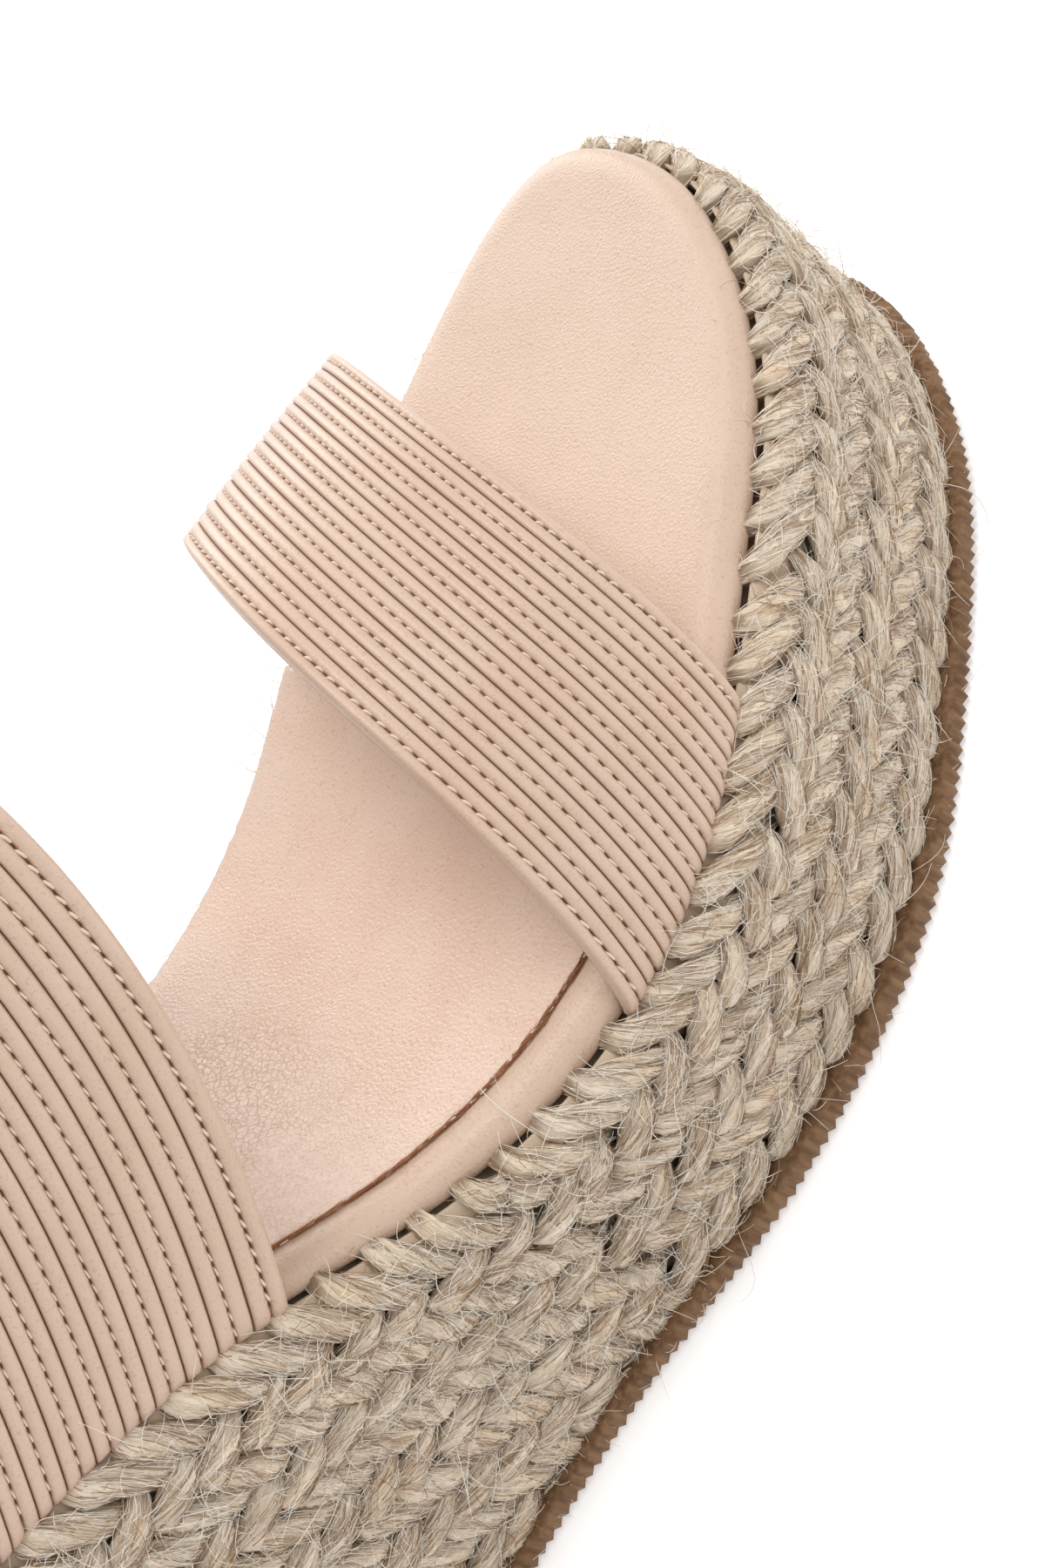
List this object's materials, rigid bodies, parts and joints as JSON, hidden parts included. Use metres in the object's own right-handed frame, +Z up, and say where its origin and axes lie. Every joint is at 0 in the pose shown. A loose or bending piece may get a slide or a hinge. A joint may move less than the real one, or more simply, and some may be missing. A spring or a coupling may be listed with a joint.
{
  "type": "wedge sandal",
  "caption": "Open-toe slip-on wedge sandal with ribbed bands over toes and instep, padded footbed, jute-plaited platform wall and pinked rubber outsole.",
  "frame": {"origin": "on the ground plane under the outsole, below the middle of the footbed's length, on the shoe's centre line", "axes": "+X to the wearer's outer side (this is a right shoe), +Y from heel to toe, +Z up"},
  "size_m": [0.1054, 0.2644, 0.1452],
  "materials": {
    "sole_rubber": "matte",
    "core_foam": "matte",
    "jute": "rough",
    "filler_felt": "matte",
    "board": "matte",
    "pad_foam": "matte",
    "upper_leather": "satin",
    "sock_leather": "satin",
    "strap_leather": "satin",
    "lining": "matte",
    "tape": "matte",
    "thread": "satin"
  },
  "bodies": {
    "root": {"outsole": "sole_rubber", "wedge_core": "core_foam", "braid_1": "jute", "braid_2": "jute", "braid_3": "jute", "braid_4": "jute", "braid_5": "jute", "braid_6": "jute", "bottom_filler": "filler_felt", "insole_board": "board", "footbed_foam": "pad_foam", "footbed_cover": "upper_leather", "sock_lining": "sock_leather", "sock_thread": "thread", "front_strap": "strap_leather", "front_tape": "tape", "front_lining": "lining", "front_thread": "thread", "rear_strap": "strap_leather", "rear_tape": "tape", "rear_lining": "lining", "rear_thread": "thread"}
  },
  "joints": []
}
